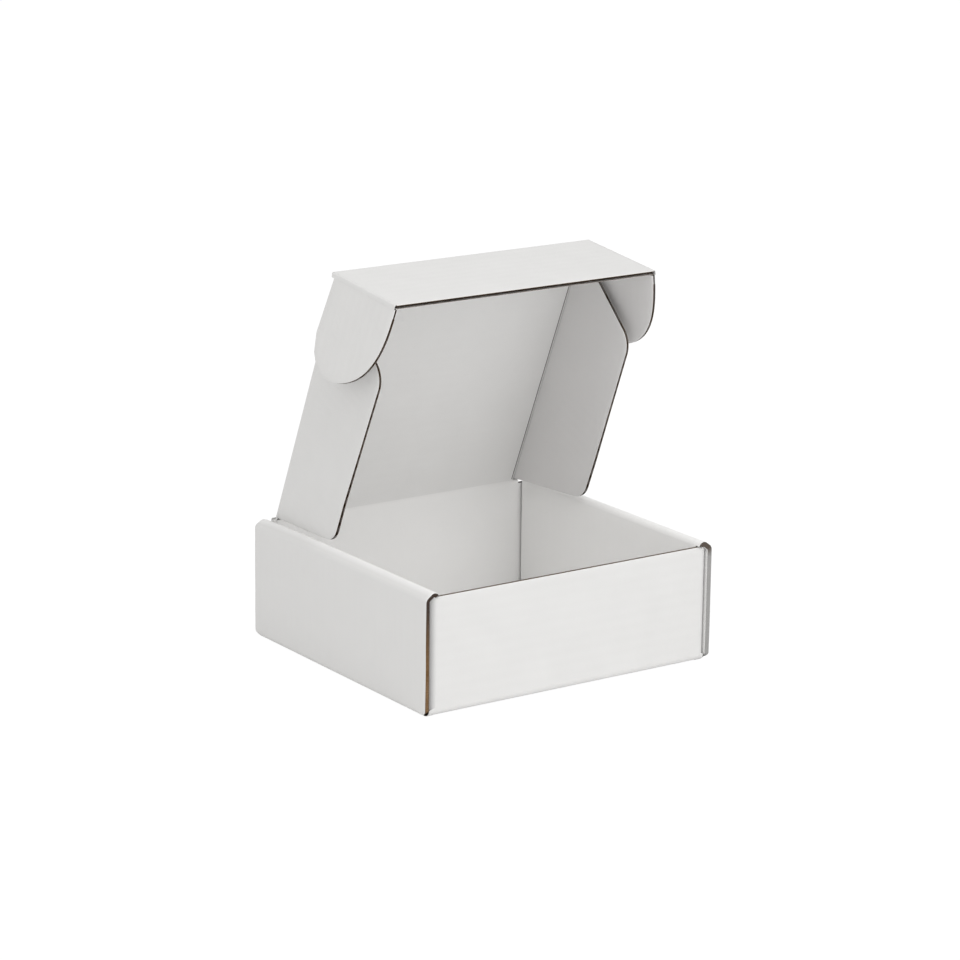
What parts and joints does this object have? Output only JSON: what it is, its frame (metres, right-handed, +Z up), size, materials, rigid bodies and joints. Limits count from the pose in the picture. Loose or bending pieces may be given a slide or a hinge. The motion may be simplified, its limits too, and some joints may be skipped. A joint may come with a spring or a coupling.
{
  "type": "mailer box",
  "caption": "White corrugated mailer box with rolled double side walls, shown with its attached lid open; the lid has side flaps, a tuck flap and rounded lock ears.",
  "frame": {"origin": "centre of the underside of the tray, where it rests", "axes": "+X along the front wall to the right as seen from the front, +Y from the front wall to the lid's hinge at the back, +Z up"},
  "size_m": [0.186, 0.17, 0.2163],
  "materials": {
    "tray": "matt paper",
    "lid_panel": "matt paper",
    "side_flap_left": "matt paper",
    "side_flap_right": "matt paper",
    "tuck_flap": "matt paper",
    "lock_ear_left": "matt paper",
    "lock_ear_right": "matt paper"
  },
  "bodies": {
    "tray": {"tray": "tray"},
    "lid": {"lid_panel": "lid_panel"},
    "flap_left": {"side_flap_left": "side_flap_left"},
    "flap_right": {"side_flap_right": "side_flap_right"},
    "tuck": {"tuck_flap": "tuck_flap"},
    "ear_left": {"lock_ear_left": "lock_ear_left"},
    "ear_right": {"lock_ear_right": "lock_ear_right"}
  },
  "joints": [
    {"name": "lid_hinge", "type": "hinge", "parent": "tray", "child": "lid", "pos_m": [0, 0.0836, 0.0643], "axis": [-1, 0, 0], "range_deg": [-42, 113.2]},
    {"name": "flap_left_fold", "type": "hinge", "parent": "lid", "child": "flap_left", "pos_m": [-0.0782, 0.08231, 0.06375], "axis": [0, -0.3939, 0.9191], "range_deg": [0, 85]},
    {"name": "flap_right_fold", "type": "hinge", "parent": "lid", "child": "flap_right", "pos_m": [0.0782, 0.08231, 0.06375], "axis": [0, 0.3939, -0.9191], "range_deg": [0, 85]},
    {"name": "tuck_fold", "type": "hinge", "parent": "lid", "child": "tuck", "pos_m": [0, 0.01903, 0.21495], "axis": [-1, 0, 0], "range_deg": [-38, 73]},
    {"name": "ear_left_fold", "type": "hinge", "parent": "tuck", "child": "ear_left", "pos_m": [-0.0827, -0.01079, 0.21171], "axis": [0, 0.9942, 0.108], "range_deg": [0, 81]},
    {"name": "ear_right_fold", "type": "hinge", "parent": "tuck", "child": "ear_right", "pos_m": [0.0827, -0.01079, 0.21171], "axis": [0, -0.9942, -0.108], "range_deg": [0, 81]}
  ]
}
